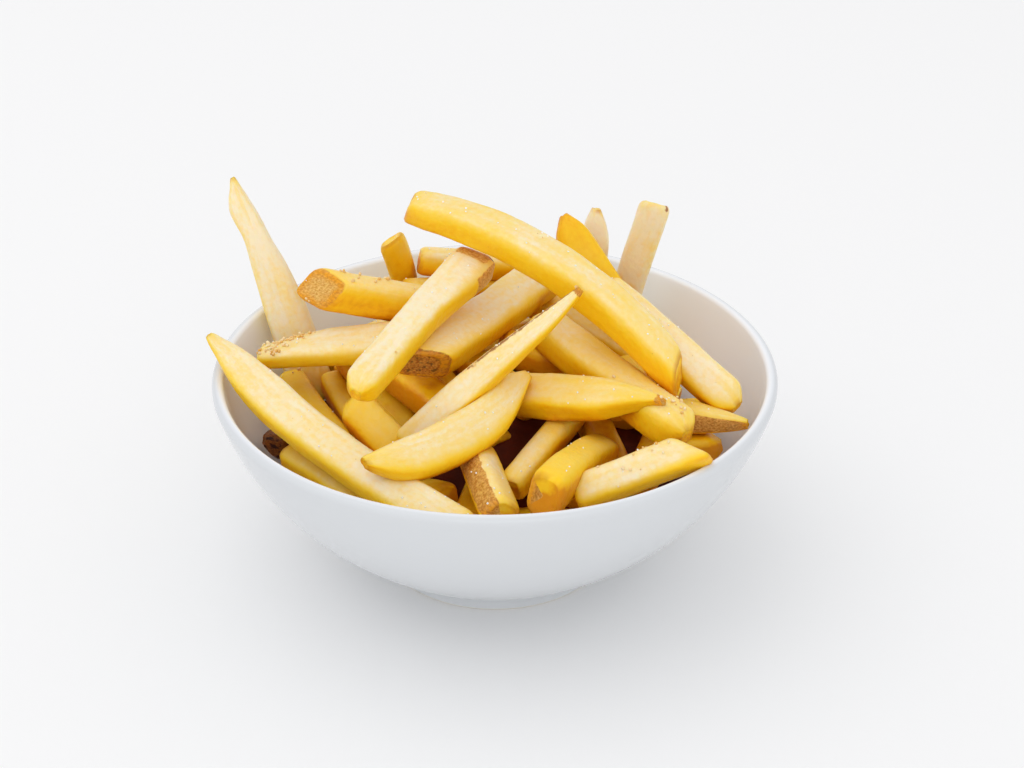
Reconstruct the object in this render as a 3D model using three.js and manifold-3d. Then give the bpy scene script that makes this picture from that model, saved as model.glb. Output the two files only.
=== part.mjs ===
// A portion of thick-cut French fries, heaped in a small round bowl of white glazed ceramic.
// Units are millimetres and +Z is up. The origin is on the table, under the middle of the bowl's foot.
import * as THREE from "three";
import { mergeVertices } from "three/addons/utils/BufferGeometryUtils.js";
import Module from "manifold-3d";

const wasm = await Module();
wasm.setup();

// Driving dimensions of the bowl.
const RIM_RADIUS = 75;
const RIM_HEIGHT = 58;
const WALL = 3.2;
const FOOT_RADIUS = 32;
const FOOT_HEIGHT = 4;
const FOOT_RING = 3;
const FOOT_RECESS = 1.5;
const FOOT_CHAMFER = 0.5;
const FLOOR_HEIGHT = 6.4;
const LIP_DROP = 2; // how far under the rim's height the wall's outer curve ends
// The wall leaves the foot nearly flat and turns up into a steep side. These two pull its curve out and up.
const BELLY_LOW = new THREE.Vector2(39.9, 9.6);
const BELLY_HIGH = new THREE.Vector2(65.6, 22.9);
const WALL_STEPS = 8;
const LIP_STEPS = 5;
const BOWL_SIDES = 64;

// Driving dimensions of the heap.
const GAP = 0.3; // between the food and the bowl
const CORE_TOP = 52; // height of the packed core at its middle, and where it meets the wall
const CORE_EDGE = 34;
const CORE_STEPS = 4;
const FRY_SIDES = 8;
const FRY_STEPS = 5;
const OUTLINED_STEPS = 8; // of an uneven fry
const RING_CROWDING = 0.8; // how much the rings crowd towards the ends of a fry, from 0 to 1
const FLAT_SHARE = 0.6; // share of each face of a fry that stays flat between its softened edges
const LEAN_REACH = 9; // mm over which the slant of an end face dies out along the fry
const LINE_STEPS = 12; // points that stand for a fry's middle line when fries are kept apart

// How a fry ends: the shares of its width and thickness left at the tip, and how far back the taper starts.
const ENDS = {
  cut: { wide: 0.9, thick: 0.9, length: 1.5 },
  round: { wide: 0.6, thick: 0.6, length: 4 },
  point: { wide: 0.22, thick: 0.3, length: 24 },
  long: { wide: 0.18, thick: 0.3, length: 42 },
};

// The fries that show, from the front and the top: the middles of both ends, width, thickness, roll in
// degrees, and how the two ends are shaped. A curved one has `bow`, how far its middle lies off the straight
// line. `lean` is for ends cut aslant: how far the face of each runs out for each millimetre across the fry
// and up it. `outline` is for an uneven one: at each station the share of its length, then the shares left
// of its half width to the left and to the right of its middle line, and of its thickness.
const SHOWN = [
  {
    from: [-73, 43, 93], to: [-49.5, 18, 36], wide: 12.5, thick: 8, roll: 40, ends: "cut cut",
    outline: [
      [0, 0.08, 0.08, 0.3], [0.1, 0.3, 0.75, 0.6], [0.16, 0.4, 0.8, 0.8], [0.22, 0.48, 0.64, 0.9],
      [0.27, 0.5, 0.62, 1], [0.42, 0.8, 0.8, 1], [0.55, 0.95, 0.92, 1], [0.75, 1, 1, 1],
      [1, 1, 1, 1],
    ],
  },
  {
    from: [-76.3, 2, 64.8], to: [-7, -61, 45], wide: 13, thick: 8, roll: 18, ends: "cut cut",
    bow: [-2, -2, -1],
    outline: [
      [0, 0.15, 0.15, 0.3], [0.06, 0.5, 0.35, 0.45], [0.16, 0.75, 0.7, 0.7],
      [0.28, 0.85, 0.95, 0.9], [0.45, 0.7, 1, 1], [1, 0.7, 1, 1],
    ],
  },
  { from: [-53, -23, 44], to: [-27, -44, 38], wide: 9.5, thick: 8, roll: 10, ends: "cut cut" },
  { from: [-61, -15, 43], to: [-50, -10, 38], wide: 8, thick: 8, roll: 0, ends: "round cut" },
  {
    from: [-63.5, 5, 57], to: [-21, 4.5, 63], wide: 12, thick: 6.5, roll: 0, ends: "cut cut",
    outline: [
      [0, 0.7, 0.8, 0.75], [0.25, 1.25, 0.95, 0.9], [0.45, 1.45, 1.15, 1], [0.7, 1.3, 1.3, 1.1],
      [1, 1.1, 1.3, 1.15],
    ],
  },
  {
    from: [-47.8, 14, 73.2], to: [-9, 18, 63.5], wide: 9, thick: 10.5, roll: 0, ends: "cut cut",
    lean: [[-1.1, 0.7], [0, 0]],
  },
  {
    from: [-6, 16, 81], to: [-34, -38, 70], wide: 10, thick: 8.5, roll: -12, ends: "cut round",
    outline: [
      [0, 1.5, 0.95, 1], [0.1, 1.5, 1, 1.05], [0.22, 1.3, 1, 1], [0.4, 1.05, 1, 1], [1, 1, 1, 1],
    ],
  },
  {
    from: [-19.5, -15.5, 66], to: [14, 41, 63.5], wide: 12.5, thick: 9.5, roll: 20, ends: "cut cut",
    lean: [[-0.9, 0], [0, 0]],
  },
  {
    from: [-23.2, 27.6, 91.3], to: [47, -20, 65], wide: 10.5, thick: 9.5, roll: 4, ends: "cut cut",
    bow: [2, -1, 8.5], lean: [[-0.3, 0], [-0.5, -0.3]],
    outline: [
      [0, 0.75, 0.8, 0.85], [0.06, 1, 0.95, 0.95], [0.3, 1.3, 1, 1], [0.5, 1.2, 1, 1],
      [0.8, 1, 1, 1.1], [1, 0.85, 1, 1.2],
    ],
  },
  {
    from: [19, 38, 84], to: [44, 20, 49], wide: 8.5, thick: 8, roll: 45, ends: "cut cut",
    outline: [
      [0, 0.15, 0.2, 0.4], [0.06, 0.6, 1.1, 0.7], [0.15, 0.9, 1.6, 0.9], [0.3, 0.95, 1.5, 1],
      [0.5, 1, 1.2, 1], [1, 1, 1, 1],
    ],
  },
  { from: [29, 10, 74.5], to: [63, -19, 55.6], wide: 10.5, thick: 8, roll: 33, ends: "cut round" },
  {
    from: [28.6, 51, 80], to: [26.6, 47, 38], wide: 8, thick: 6.5, roll: -25, ends: "cut cut",
    outline: [
      [0, 0.3, 0.3, 0.4], [0.06, 0.6, 0.7, 0.7], [0.2, 1, 1, 1], [1, 1, 1, 1],
    ],
  },
  {
    from: [44.6, 41, 86], to: [34.5, 48, 38], wide: 9, thick: 7.5, roll: -114, ends: "cut cut",
    bow: [-1, -1, 0],
  },
  {
    from: [-29.5, 40, 75.5], to: [-23, 53, 40], wide: 8, thick: 6.5, roll: -34, ends: "cut cut",
    lean: [[0.65, 0.5], [0, 0]],
  },
  { from: [-22, 43, 67.5], to: [8, 45, 64], wide: 8, thick: 8, roll: 0, ends: "cut cut" },
  {
    from: [22, -14, 87], to: [-24, -30, 50], wide: 10, thick: 6.5, roll: -35, ends: "long cut",
    outline: [
      [0, 1, 1, 1], [0.2, 0.9, 1, 1], [0.35, 0.65, 1, 1], [0.7, 0.7, 1, 1], [1, 0.9, 1, 1],
    ],
  },
  {
    from: [-31.7, -49.5, 57.6], to: [8.6, -14.3, 62], wide: 14.5, thick: 7, roll: 38, ends: "cut cut",
    bow: [3, -4.5, -2.5],
    outline: [
      [0, 0.2, 0.2, 0.5], [0.1, 0.4, 0.85, 0.9], [0.22, 0.6, 1, 1], [0.45, 0.8, 0.95, 1],
      [0.65, 0.75, 0.9, 1], [0.78, 0.8, 0.7, 0.9], [0.9, 0.75, 0.35, 0.75], [1, 0.25, 0.15, 0.4],
    ],
  },
  {
    from: [4, -10.2, 54.5], to: [42.3, -32.5, 65], wide: 12, thick: 8.5, roll: 25, ends: "cut cut",
    outline: [
      [0, 0.9, 0.9, 1], [0.3, 1, 1, 1], [0.6, 0.8, 1.05, 0.95], [0.8, 0.55, 0.55, 0.7],
      [1, 0.15, 0.15, 0.35],
    ],
  },
  { from: [13, 14, 61.5], to: [48, -38, 58], wide: 11, thick: 11, roll: 0, ends: "cut round" },
  { from: [47, -19, 52.9], to: [65, -25, 53.9], wide: 9, thick: 9, roll: 0, ends: "cut point" },
  { from: [45, -24, 45.4], to: [59, -22, 45.7], wide: 8, thick: 8, roll: 0, ends: "cut round" },
  {
    from: [20, -51, 49], to: [49, -49, 61], wide: 9, thick: 8, roll: 35, ends: "cut cut",
    lean: [[0, 0], [-1, 0]],
  },
  {
    from: [12, -60, 58], to: [29, -21, 43.5], wide: 9.5, thick: 8.5, roll: 10, ends: "cut cut",
    bow: [0, 0, 1.5],
  },
  { from: [4, -42, 45], to: [21, -12, 50], wide: 7.5, thick: 8, roll: 0, ends: "cut cut" },
  { from: [2, -60, 49], to: [-5, -31, 49], wide: 9.5, thick: 9, roll: 15, ends: "cut cut" },
  { from: [-29, 3, 55], to: [-10, -17, 51], wide: 10, thick: 9, roll: 0, ends: "cut cut" },
  { from: [-38, -12, 53], to: [-24, -27, 45], wide: 11, thick: 8.5, roll: 0, ends: "round cut" },
  { from: [-57, 14, 45], to: [-41, -14, 40], wide: 8, thick: 8, roll: 0, ends: "cut cut" },
  { from: [-46, 16, 44], to: [-34, -13, 40], wide: 7, thick: 7, roll: 0, ends: "cut cut" },
  { from: [1, 13, 56.5], to: [22, 9, 50.5], wide: 9, thick: 9, roll: 0, ends: "cut cut" },
  { from: [32, 40, 50], to: [36, 29, 38], wide: 8, thick: 8, roll: 0, ends: "cut cut" },
  { from: [25, -5, 46], to: [32, -26, 38], wide: 9, thick: 9, roll: 0, ends: "cut cut" },
  { from: [44, -14, 44], to: [37, -32, 39], wide: 9, thick: 9, roll: 0, ends: "cut cut" },
];

// The fries that prop those up, seen between them and from behind.
const PROPS = [
  { from: [-26, 36, 60], to: [6, 46, 57], wide: 9, thick: 9, roll: 10, ends: "cut cut" },
  { from: [-20, 60, 47], to: [-8, 26, 55], wide: 9.5, thick: 9, roll: -8, ends: "round cut" },
  { from: [8, 47, 55], to: [45, 17, 46], wide: 9.5, thick: 9, roll: 5, ends: "round cut" },
  { from: [-48, 36, 39], to: [-14, 24, 61], wide: 10, thick: 10, roll: 12, ends: "cut round" },
  { from: [50, 22, 37], to: [22, 50, 42], wide: 10, thick: 9, roll: -10, ends: "round cut" },
  { from: [-46, -20, 47], to: [-28, -37, 44], wide: 8, thick: 7.5, roll: 0, ends: "cut cut" },
];

// The bed under them: fries dropped at random into the dome between the core and those that show, of which
// the ones that find room stay.
const BED_COUNT = 34;
const BED_TRIES = 16000;
const BED_LENGTH = [26, 58];
const BED_WIDTH = [8.5, 10];
const BED_FLATNESS = 1; // mm that a bed fry is thinner than it is wide
const BED_SLOPE = 0.35; // rise for each millimetre of run
const BED_ROLL = 30; // degrees
const BED_SQUEEZE = 3; // mm that bed fries may press into each other, and into those that show
const SHOWN_SQUEEZE = 1;
const REST_GAP = 1; // mm that a bed fry's middle line may be over the core where it rests on it
const DOME = { middle: [-5, -4], reach: 62, top: 64, edge: 44 };

// A random draw that is the same each time.
const RANDOM_FACTOR = 16807;
const RANDOM_LIMIT = 2147483647;
let seed = 20;
const random = (low, high) => {
  seed = (seed * RANDOM_FACTOR) % RANDOM_LIMIT;
  return low + ((high - low) * seed) / RANDOM_LIMIT;
};

// Joining and cutting.
const MERGE_DISTANCE = 1e-3;

function solidOf(geometry) {
  geometry.deleteAttribute("normal");
  geometry.deleteAttribute("uv");
  const merged = mergeVertices(geometry, MERGE_DISTANCE);
  return new wasm.Manifold(
    new wasm.Mesh({
      numProp: 3,
      vertProperties: merged.attributes.position.array,
      triVerts: new Uint32Array(merged.index.array),
    }),
  );
}

function geometryOf(solid) {
  const { vertProperties, triVerts } = solid.getMesh();
  const geometry = new THREE.BufferGeometry();
  geometry.setAttribute("position", new THREE.BufferAttribute(vertProperties, 3));
  geometry.setIndex(new THREE.BufferAttribute(triVerts, 1));
  geometry.computeVertexNormals();
  return geometry;
}

function lathe(profile) {
  const geometry = new THREE.LatheGeometry(profile, BOWL_SIDES);
  geometry.rotateX(Math.PI / 2);
  return geometry;
}

// The bowl: its outer curve runs from the foot to the rim, and the inner one follows it a wall away.
const outerCurve = new THREE.CubicBezierCurve(
  new THREE.Vector2(FOOT_RADIUS, FOOT_HEIGHT),
  BELLY_LOW,
  BELLY_HIGH,
  new THREE.Vector2(RIM_RADIUS, RIM_HEIGHT - LIP_DROP),
);

function wallPoints(inset) {
  return Array.from({ length: WALL_STEPS + 1 }, (_, i) => {
    const tangent = outerCurve.getTangent(i / WALL_STEPS);
    const inward = new THREE.Vector2(-tangent.y, tangent.x);
    return outerCurve.getPoint(i / WALL_STEPS).addScaledVector(inward, inset);
  });
}

// The radius of the bowl's inner face at a height.
function wallRadius(height) {
  const wall = wallPoints(WALL);
  const above = wall.findIndex((point) => point.y > height);
  if (above < 0) return Infinity;
  if (above === 0) return 0;
  const share = (height - wall[above - 1].y) / (wall[above].y - wall[above - 1].y);
  return wall[above - 1].x + share * (wall[above].x - wall[above - 1].x);
}

// The profile of the bowl, grown by `grow` on every side that the food can reach.
function bowlProfile(grow = 0) {
  const tangent = outerCurve.getTangent(1);
  const inward = new THREE.Vector2(-tangent.y, tangent.x);
  const lipMiddle = outerCurve.getPoint(1).addScaledVector(inward, WALL / 2);
  const outward = inward.clone().negate().angle();
  const lip = Array.from({ length: LIP_STEPS - 1 }, (_, i) => {
    const angle = outward + (Math.PI * (i + 1)) / LIP_STEPS;
    const radius = WALL / 2 + grow;
    return new THREE.Vector2(Math.cos(angle), Math.sin(angle)).multiplyScalar(radius).add(lipMiddle);
  });
  return [
    new THREE.Vector2(0, FOOT_RECESS),
    new THREE.Vector2(FOOT_RADIUS - FOOT_RING - FOOT_RECESS, FOOT_RECESS),
    new THREE.Vector2(FOOT_RADIUS - FOOT_RING, 0),
    new THREE.Vector2(FOOT_RADIUS - FOOT_CHAMFER, 0),
    ...wallPoints(-grow),
    ...lip,
    ...wallPoints(WALL + grow).reverse(),
    new THREE.Vector2(0, FLOOR_HEIGHT + grow),
  ];
}

// One fry: a bar of eight sides swept along its bowed middle line, with its two ends shaped by their kinds.
const EVEN = [
  [0, 1, 1, 1],
  [1, 1, 1, 1],
];
const UPRIGHT = [
  [0, 0],
  [0, 0],
];
const HALF = 0.5; // a cylinder reaches half its height below its middle

const easeOut = (share) => Math.sin((Math.min(1, share) * Math.PI) / 2);

function endShare(end, distance, measure) {
  return end[measure] + (1 - end[measure]) * easeOut(distance / end.length);
}

function spineOf({ from, to, bow = [0, 0, 0] }) {
  const start = new THREE.Vector3(...from);
  const stop = new THREE.Vector3(...to);
  const pull = start.clone().lerp(stop, 0.5).addScaledVector(new THREE.Vector3(...bow), 2);
  return new THREE.QuadraticBezierCurve3(start, pull, stop);
}

const middleLine = (fry) => spineOf(fry).getPoints(LINE_STEPS);

// The shares left of a fry's half width to its left and to its right, and of its thickness, at a share of
// its length.
function outlineAt(stations, share) {
  const after = Math.max(1, stations.findIndex((station) => station[0] >= Math.min(share, 1)));
  const last = stations[after - 1];
  const next = stations[after];
  const step = (share - last[0]) / (next[0] - last[0]);
  return last.slice(1).map((value, i) => THREE.MathUtils.lerp(value, next[i + 1], step));
}

// The eight points round a fry are where the flat parts of its faces end. An end face's middle stays put.
const squared = (unit) => Math.round(unit) || Math.round(2 * unit) * FLAT_SHARE;

function frySolid(fry) {
  const { wide, thick, roll, ends, outline = EVEN, lean = UPRIGHT } = fry;
  const spine = spineOf(fry);
  const start = spine.v0;
  const stop = spine.v2;
  const length = start.distanceTo(stop);
  const along = stop.clone().sub(start).normalize();
  const side = new THREE.Vector3(0, 0, 1).cross(along).normalize();
  side.applyAxisAngle(along, THREE.MathUtils.degToRad(roll));
  const top = along.clone().cross(side);
  const [first, last] = ends.split(" ").map((name) => ENDS[name]);

  const steps = outline === EVEN ? FRY_STEPS : OUTLINED_STEPS;
  const geometry = new THREE.CylinderGeometry(1, 1, 1, FRY_SIDES, steps);
  geometry.rotateY(Math.PI / FRY_SIDES);
  const place = geometry.attributes.position;
  for (let i = 0; i < place.count; i++) {
    const step = place.getY(i) + HALF;
    const share = step - (RING_CROWDING * Math.sin(2 * Math.PI * step)) / (2 * Math.PI);
    const near = share * length;
    const far = length - near;
    const [left, right, deep] = outlineAt(outline, share);
    const sideways = squared(place.getZ(i));
    const halfWide = (wide / 2) * endShare(first, near, "wide") * endShare(last, far, "wide");
    const halfThick = (thick / 2) * endShare(first, near, "thick") * endShare(last, far, "thick");
    const across = sideways * halfWide * (sideways > 0 ? left : right);
    const up = squared(place.getX(i)) * halfThick * deep;
    const slants = lean.map(([slantAcross, slantUp]) => slantAcross * across + slantUp * up);
    const slant = slants[0] * Math.exp(-near / LEAN_REACH) + slants[1] * Math.exp(-far / LEAN_REACH);
    const point = spine.getPoint(share);
    point.addScaledVector(side, across).addScaledVector(top, up).addScaledVector(along, slant);
    place.setXYZ(i, point.x, point.y, point.z);
  }
  return solidOf(geometry);
}

// How deep two fries run into each other, from points along both middle lines.
function overlap(one, other) {
  const reach = (one.wide + one.thick + other.wide + other.thick) / 4;
  const others = middleLine(other);
  return reach - Math.min(...middleLine(one).flatMap((p) => others.map((q) => p.distanceTo(q))));
}

// A mound is highest at its middle and falls away to its edge as the square of the distance.
const CORE = { middle: [0, 0], reach: wallRadius(CORE_EDGE) - GAP, top: CORE_TOP, edge: CORE_EDGE };

function moundHeight(x, y, { middle, reach, top, edge }) {
  const share = Math.hypot(x - middle[0], y - middle[1]) / reach;
  return top - (top - edge) * share * share;
}

// A bed fry has room if it is clear of the bowl, under the dome, not sunk in the core, and clear of the fries
// that show. It rests on the core or on another fry.
function hasRoom(fry, placed) {
  const line = middleLine(fry);
  const inBowl = line.every((p) => Math.hypot(p.x, p.y) < wallRadius(p.z - fry.thick / 2) - fry.wide / 2);
  const inDome = line.every((p) => p.z < moundHeight(p.x, p.y, DOME));
  const overCore = line.map((p) => p.z - moundHeight(p.x, p.y, CORE));
  if (!inBowl || !inDome || Math.max(...overCore) < -REST_GAP) return false;
  if (SHOWN.some((shown) => overlap(fry, shown) > SHOWN_SQUEEZE)) return false;
  const press = Math.max(...placed.map((other) => overlap(fry, other)));
  return press < BED_SQUEEZE && (press > 0 || Math.min(...overCore) < REST_GAP);
}

function bedFries() {
  const placed = [...PROPS];
  for (let attempt = 0; attempt < BED_TRIES && placed.length < BED_COUNT + PROPS.length; attempt++) {
    const radius = DOME.reach * Math.sqrt(random(0, 1));
    const bearing = random(0, 2 * Math.PI);
    const turn = random(0, Math.PI);
    const half = random(...BED_LENGTH) / 2;
    const height = random(CORE.edge, DOME.top);
    const rise = half * random(-BED_SLOPE, BED_SLOPE);
    const wide = random(...BED_WIDTH);
    const roll = random(-BED_ROLL, BED_ROLL);
    const end = (sign) => [
      radius * Math.cos(bearing) + sign * half * Math.cos(turn),
      radius * Math.sin(bearing) + sign * half * Math.sin(turn),
      height + sign * rise,
    ];
    const fry = { from: end(-1), to: end(1), wide, thick: wide - BED_FLATNESS, roll, ends: "cut round" };
    if (hasRoom(fry, placed)) placed.push(fry);
  }
  return placed;
}

// The packed core fills the bowl under the fries and rises to a low mound.
function coreProfile() {
  const wall = wallPoints(WALL + GAP).filter((point) => point.y < CORE.edge);
  const mound = Array.from({ length: CORE_STEPS + 1 }, (_, i) => {
    const radius = CORE.reach * (1 - i / CORE_STEPS);
    return new THREE.Vector2(radius, moundHeight(radius, 0, CORE));
  });
  return [new THREE.Vector2(0, FLOOR_HEIGHT + GAP), ...wall, ...mound];
}

// Joins the fries to the core and trims them clear of the bowl. Only the largest body is kept, so hollows
// that the joining seals are filled and loose scraps are dropped.
function heapSolid() {
  const pieces = [...SHOWN, ...bedFries()].map(frySolid);
  const joined = wasm.Manifold.union([solidOf(lathe(coreProfile())), ...pieces]);
  const trimmed = joined.subtract(solidOf(lathe(bowlProfile(GAP))));
  return trimmed.decompose().reduce((most, body) => (body.volume() > most.volume() ? body : most));
}

const glaze = new THREE.MeshStandardMaterial({ color: 0xe9eaec, roughness: 0.2, metalness: 0 });
const friedPotato = new THREE.MeshStandardMaterial({ color: 0xedc46a, roughness: 0.6, metalness: 0 });

const bowl = new THREE.Mesh(lathe(bowlProfile()), glaze);
bowl.name = "bowl";
const fries = new THREE.Mesh(geometryOf(heapSolid()), friedPotato);
fries.name = "fries";

const portion = new THREE.Group();
portion.add(bowl, fries);

export default portion;
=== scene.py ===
import math

import bpy
import numpy as np
from mathutils import Euler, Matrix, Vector, noise
from mathutils.bvhtree import BVHTree


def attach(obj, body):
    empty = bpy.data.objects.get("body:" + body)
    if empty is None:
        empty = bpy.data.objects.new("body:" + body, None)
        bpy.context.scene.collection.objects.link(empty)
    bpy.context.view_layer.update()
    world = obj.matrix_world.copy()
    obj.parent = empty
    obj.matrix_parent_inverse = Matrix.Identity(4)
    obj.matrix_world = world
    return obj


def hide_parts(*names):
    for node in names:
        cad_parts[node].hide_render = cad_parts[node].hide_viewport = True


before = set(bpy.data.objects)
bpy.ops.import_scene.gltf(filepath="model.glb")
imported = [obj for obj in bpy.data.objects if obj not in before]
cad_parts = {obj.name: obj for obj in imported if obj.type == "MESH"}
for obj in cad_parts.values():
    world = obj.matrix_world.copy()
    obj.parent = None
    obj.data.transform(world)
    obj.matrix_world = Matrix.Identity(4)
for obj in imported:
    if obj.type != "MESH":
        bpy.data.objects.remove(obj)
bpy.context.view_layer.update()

# --------------------------------------------------------------------------------------------------
# The shot: the camera looks down on the portion from the front. Round it is a white light tent,
# with a large soft box overhead to the left and a weaker one in front, and the table is plain
# matt white board.
# --------------------------------------------------------------------------------------------------

MM = 0.001
CAMERA_PITCH = math.radians(29.65)
CAMERA_DISTANCE = 497 * MM
CAMERA_TARGET = Vector((4.5, 0, 51.5)) * MM
CAMERA_LENS = 65
CAMERA_SENSOR = 36
TABLE_SIZE = 6.0
TENT_COLOUR = "#fbfbfc"
TENT_BRIGHTNESS = 0.91
LIT_SPOT = (0, 0, 0.05)


def linear(colour):
    """An sRGB hex colour as the linear numbers that a shader takes."""
    channels = [int(colour[i : i + 2], 16) / 255 for i in (1, 3, 5)]
    return (*[c / 12.92 if c <= 0.04045 else ((c + 0.055) / 1.055) ** 2.4 for c in channels], 1)


def add(tree, kind, links=(), **settings):
    """Adds a node. settings are its properties, or its sockets by name with _ for a space. links
    gives its inputs, by name or number, what feeds them: another node's output or a plain value."""
    node = tree.nodes.new("ShaderNode" + kind)
    for name, value in settings.items():
        if hasattr(node, name):
            setattr(node, name, value)
        else:
            node.inputs[name.replace("_", " ")].default_value = value
    for name, source in dict(links).items():
        if isinstance(source, bpy.types.NodeSocket):
            tree.links.new(source, node.inputs[name])
        else:
            node.inputs[name].default_value = source
    return node


def material(name):
    made = bpy.data.materials.new(name)
    made.use_nodes = True
    made.node_tree.nodes.clear()
    return made, made.node_tree


def deselect():
    bpy.ops.object.select_all(action="DESELECT")


eye = bpy.data.cameras.new("camera")
eye.lens = CAMERA_LENS
eye.sensor_width = CAMERA_SENSOR
camera = bpy.data.objects.new("camera", eye)
backward = Vector((0, -math.cos(CAMERA_PITCH), math.sin(CAMERA_PITCH)))
camera.location = CAMERA_TARGET + backward * CAMERA_DISTANCE
camera.rotation_euler = (math.pi / 2 - CAMERA_PITCH, 0, 0)
bpy.context.scene.collection.objects.link(camera)
bpy.context.scene.camera = camera
bpy.context.scene.view_settings.view_transform = "Standard"

tent = bpy.data.worlds.new("tent")
tent.use_nodes = True
sky = tent.node_tree.nodes["Background"]
sky.inputs["Color"].default_value = linear(TENT_COLOUR)
sky.inputs["Strength"].default_value = TENT_BRIGHTNESS
bpy.context.scene.world = tent


def soft_box(name, place, size, watts):
    light = bpy.data.lights.new(name, "AREA")
    light.shape = "SQUARE"
    light.size = size
    light.energy = watts
    lamp = bpy.data.objects.new(name, light)
    lamp.location = place
    lamp.rotation_euler = (Vector(LIT_SPOT) - Vector(place)).to_track_quat("-Z", "Y").to_euler()
    bpy.context.scene.collection.objects.link(lamp)


soft_box("overhead_box", (-0.8, 0, 1.9), size=2.2, watts=7.5)
soft_box("front_box", (0.2, -2, 0.9), size=1.6, watts=6.5)

deselect()
bpy.ops.mesh.primitive_plane_add(size=TABLE_SIZE)
table = bpy.context.object
table.name = "table"

# Matt white board, painted: no shine, so that the shadow on it is soft and even.
board, tree = material("matt_white_board")
surface = add(
    tree,
    "BsdfPrincipled",
    Base_Color=linear("#f4f4f4"),
    Roughness=0.9,
    Specular_IOR_Level=0.2,
)
add(tree, "OutputMaterial", {"Surface": surface.outputs["BSDF"]})
table.data.materials.append(board)

# --------------------------------------------------------------------------------------------------
# The bowl: a small round bowl of white porcelain, jiggered on a mould so that its wall is even, then
# dipped in a clear gloss glaze and fired on its foot ring, whose wiped edge is bare.
# --------------------------------------------------------------------------------------------------

RIM_RADIUS = 75
RIM_HEIGHT = 58
WALL = 3.2
FOOT_RADIUS = 32
FOOT_HEIGHT = 4
FOOT_RING = 3
FOOT_ROUND = 0.7  # of the foot ring's outer edge
FOOT_BREAK = 0.4  # of its inner edge
FOOT_RECESS = 1.5
RECESS_ROUND = 1
FLOOR_HEIGHT = 6.4
FLOOR_RUN = 4  # from the wall's inner curve to the flat of the floor
BELLY_LOW = (39.9, 9.6)
BELLY_HIGH = (65.6, 22.9)
WALL_TOP = (RIM_RADIUS, RIM_HEIGHT - 2)  # the lip is rounded over it
WALL_CURVE = np.array([(FOOT_RADIUS, FOOT_HEIGHT), BELLY_LOW, BELLY_HIGH, WALL_TOP])
WALL_STEPS = 44
LIP_STEPS = 12
SPIN_STEPS = 240
BARE_HEIGHT = 0.7  # how far up the foot ring is wiped


def wall_points(inset, steps):
    """Points up the bowl's outer curve, moved in by inset."""
    t = np.linspace(0, 1, steps + 1)[:, None]
    a, b, c, d = WALL_CURVE
    place = (1 - t) ** 3 * a + 3 * (1 - t) ** 2 * t * b + 3 * (1 - t) * t**2 * c + t**3 * d
    slope = (1 - t) ** 2 * (b - a) + 2 * (1 - t) * t * (c - b) + t**2 * (d - c)
    slope /= np.linalg.norm(slope, axis=1)[:, None]
    return place + inset * np.stack([-slope[:, 1], slope[:, 0]], axis=1)


def arc(middle, radius, start, stop, steps):
    """Points on an arc, without its two ends, in degrees from +X."""
    angles = np.radians(np.linspace(start, stop, steps + 1)[1:-1])
    return [np.array(middle) + radius * np.array([math.cos(a), math.sin(a)]) for a in angles]


def bowl_profile():
    outer = wall_points(0, WALL_STEPS)
    inner = wall_points(WALL, WALL_STEPS)[::-1]
    lip_middle = (outer[-1] + inner[0]) / 2
    outward = math.degrees(math.atan2(*(outer[-1] - inner[0])[::-1]))
    ring_in = FOOT_RADIUS - FOOT_RING
    recess_edge = ring_in - FOOT_RING
    foot_edge = FOOT_RADIUS - FOOT_ROUND
    floor_edge = (inner[-1][0] - FLOOR_RUN, FLOOR_HEIGHT)
    profile = [
        (0, FOOT_RECESS),
        (recess_edge, FOOT_RECESS),
        *arc((recess_edge, FOOT_RECESS - RECESS_ROUND), RECESS_ROUND, 90, 45, 3),
        (ring_in, FOOT_BREAK),
        (ring_in + FOOT_BREAK, 0),
        (foot_edge, 0),
        *arc((foot_edge, FOOT_ROUND), FOOT_ROUND, -90, 0, 4),
        (FOOT_RADIUS, FOOT_ROUND),
        *outer,
        *arc(lip_middle, WALL / 2, outward, outward + 180, LIP_STEPS),
        *inner,
        floor_edge,
        (0, FLOOR_HEIGHT),
    ]
    return [(min(radius, RIM_RADIUS), height) for radius, height in profile]


def spun(name, profile, steps):
    """Extrudes one vertex along a profile of (radius, height) in mm, and spins it round the Z axis."""
    deselect()
    bpy.ops.mesh.primitive_plane_add(size=MM)
    made = bpy.context.object
    made.name = name
    bpy.ops.object.mode_set(mode="EDIT")
    bpy.ops.mesh.select_all(action="SELECT")
    bpy.ops.mesh.merge(type="CENTER")
    points = [Vector((radius, 0, height)) * MM for radius, height in profile]
    for last, point in zip([Vector()] + points, points):
        if last == Vector():
            bpy.ops.transform.translate(value=point)
        else:
            bpy.ops.mesh.extrude_region_move(TRANSFORM_OT_translate={"value": point - last})
    bpy.ops.mesh.select_all(action="SELECT")
    bpy.ops.mesh.spin(steps=steps, angle=2 * math.pi, center=(0, 0, 0), axis=(0, 0, 1))
    bpy.ops.mesh.select_all(action="SELECT")
    bpy.ops.mesh.remove_doubles(threshold=0.01 * MM)
    bpy.ops.mesh.normals_make_consistent(inside=False)
    bpy.ops.object.mode_set(mode="OBJECT")
    bpy.ops.object.shade_smooth()
    return made


bowl = spun("glazed_bowl", bowl_profile(), SPIN_STEPS)

# Porcelain under clear gloss glaze: white with a cool cast and a hard, even shine that waves a
# little where the glaze ran, and bare, matt and warmer on the wiped edge of the foot. Inside it is
# painted a shade whiter and outside greyer: painted light and painted shade.
SHADED_GLAZE_OUTSIDE = "#d6d9dc"
LIT_GLAZE_INSIDE = "#f4f8ff"
BARE_BODY = "#e9e4da"
GLAZE_WAVE = 22  # mm from crest to crest
GLAZE_WAVE_HEIGHT = 0.4

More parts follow.
